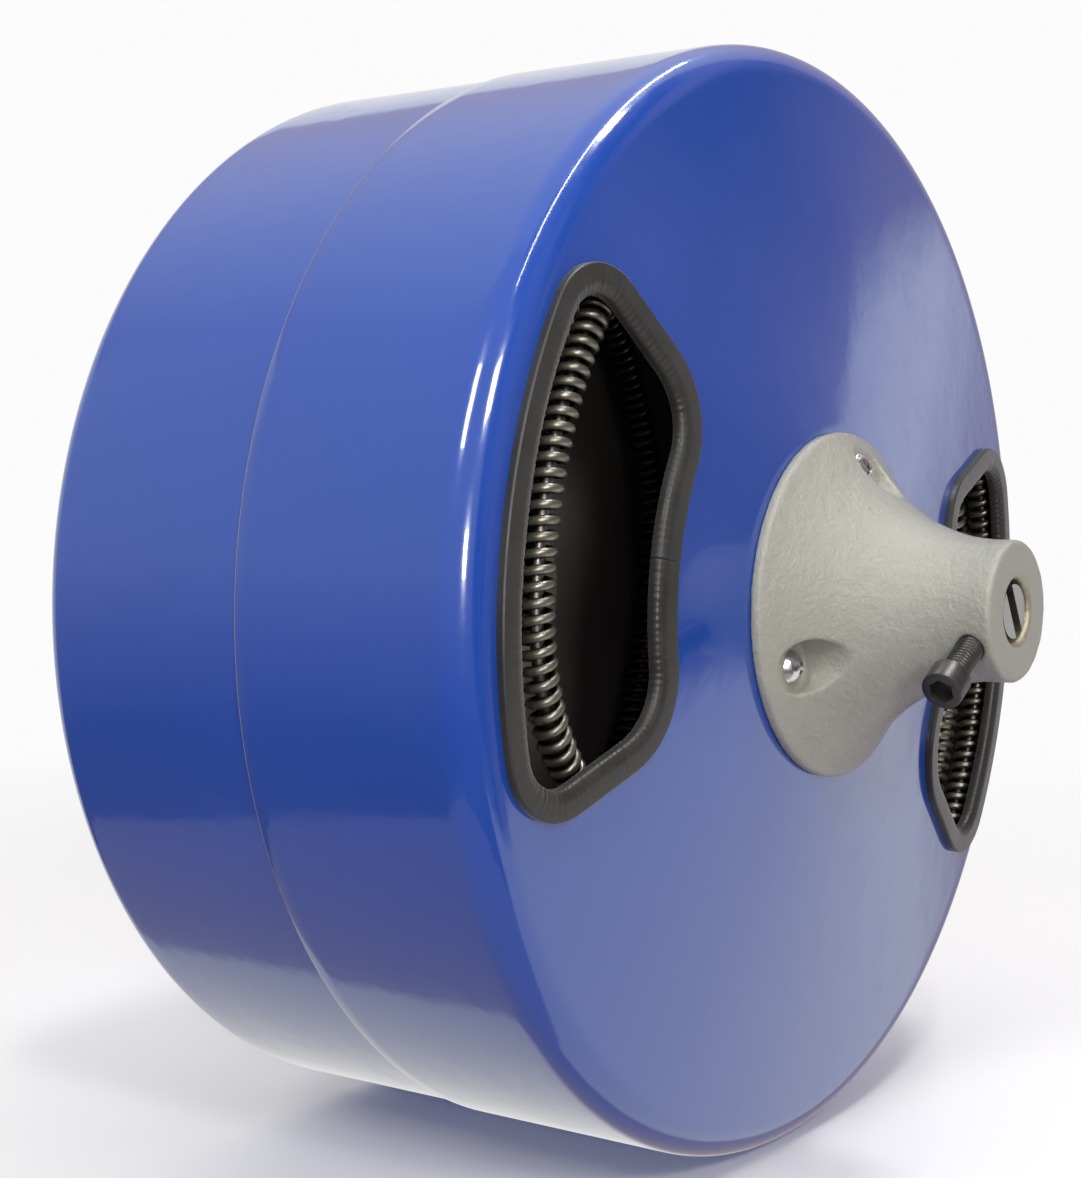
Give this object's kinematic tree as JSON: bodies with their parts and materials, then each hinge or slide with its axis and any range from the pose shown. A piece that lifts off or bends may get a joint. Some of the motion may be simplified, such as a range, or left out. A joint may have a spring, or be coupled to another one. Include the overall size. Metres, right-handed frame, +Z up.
{
  "type": "drain auger cable drum",
  "caption": "Closed steel cable drum of a drain auger: wound cable inside, rubber-edged hand windows, cast front hub with clamp screw, bearing hub behind.",
  "frame": {"origin": "centre of the spindle bore in the rear hub, half-way along the bore", "axes": "+Z up, the drum turns about the Y axis, the front hub's nose points to -Y and the spindle leaves to +Y"},
  "size_m": [0.4064, 0.2843, 0.4064],
  "materials": {
    "drum_enamel": "gloss blue enamel",
    "hub_paint": "grey paint over casting",
    "edging_rubber": "matte",
    "zinc_steel": "zinc plated",
    "black_steel": "black oxide",
    "cable_steel": "worn spring wire",
    "core_steel": "wire rope",
    "connector_steel": "machined",
    "bearing_steel": "ground",
    "cage_steel": "pressed",
    "seal_rubber": "matte"
  },
  "bodies": {
    "spindle_side": {"bearing_inner_rings": "bearing_steel", "bearing_spacer": "bearing_steel"},
    "drum": {"front_shell": "drum_enamel", "rear_shell": "drum_enamel", "front_hub": "hub_paint", "hub_screws": "zinc_steel", "hub_lock_washers": "zinc_steel", "hub_nuts": "zinc_steel", "window_trim_left": "edging_rubber", "window_trim_right": "edging_rubber", "cable_layer_outer": "cable_steel", "cable_layer_middle": "cable_steel", "cable_layer_inner": "cable_steel", "cable_bend": "cable_steel", "cable_anchor_strap": "zinc_steel", "anchor_bolts": "zinc_steel", "anchor_nuts": "zinc_steel", "rear_hub": "hub_paint", "rear_hub_bolts": "zinc_steel", "rear_hub_washers": "zinc_steel", "rear_hub_nuts": "zinc_steel", "bearing_outer_rings": "bearing_steel", "bearing_seals": "seal_rubber", "bearing_retaining_rings": "black_steel"},
    "ball_set": {"bearing_balls": "bearing_steel", "bearing_cages": "cage_steel"},
    "clamp_screw": {"clamp_screw": "black_steel"},
    "cable_end": {"cable_lead": "cable_steel", "cable_core": "core_steel", "cable_connector": "connector_steel", "connector_screw": "black_steel"}
  },
  "joints": [
    {"name": "drum_spin", "type": "hinge", "parent": "spindle_side", "child": "drum", "pos_m": [0, 0, 0], "axis": [0, 1, 0], "continuous": true},
    {"name": "ball_spin", "type": "hinge", "parent": "spindle_side", "child": "ball_set", "pos_m": [0, 0, 0], "axis": [0, 1, 0], "continuous": true},
    {"name": "clamp_travel", "type": "slide", "parent": "drum", "child": "clamp_screw", "axis": [-0.8746, 0, -0.4848], "range_m": [-0.001, 0.012]},
    {"name": "cable_travel", "type": "slide", "parent": "drum", "child": "cable_end", "axis": [0, -1, 0], "range_m": [0, 0.06]}
  ],
  "couplings": [
    {"joint": "ball_spin", "follows": "drum_spin", "ratio": 0.60128}
  ]
}
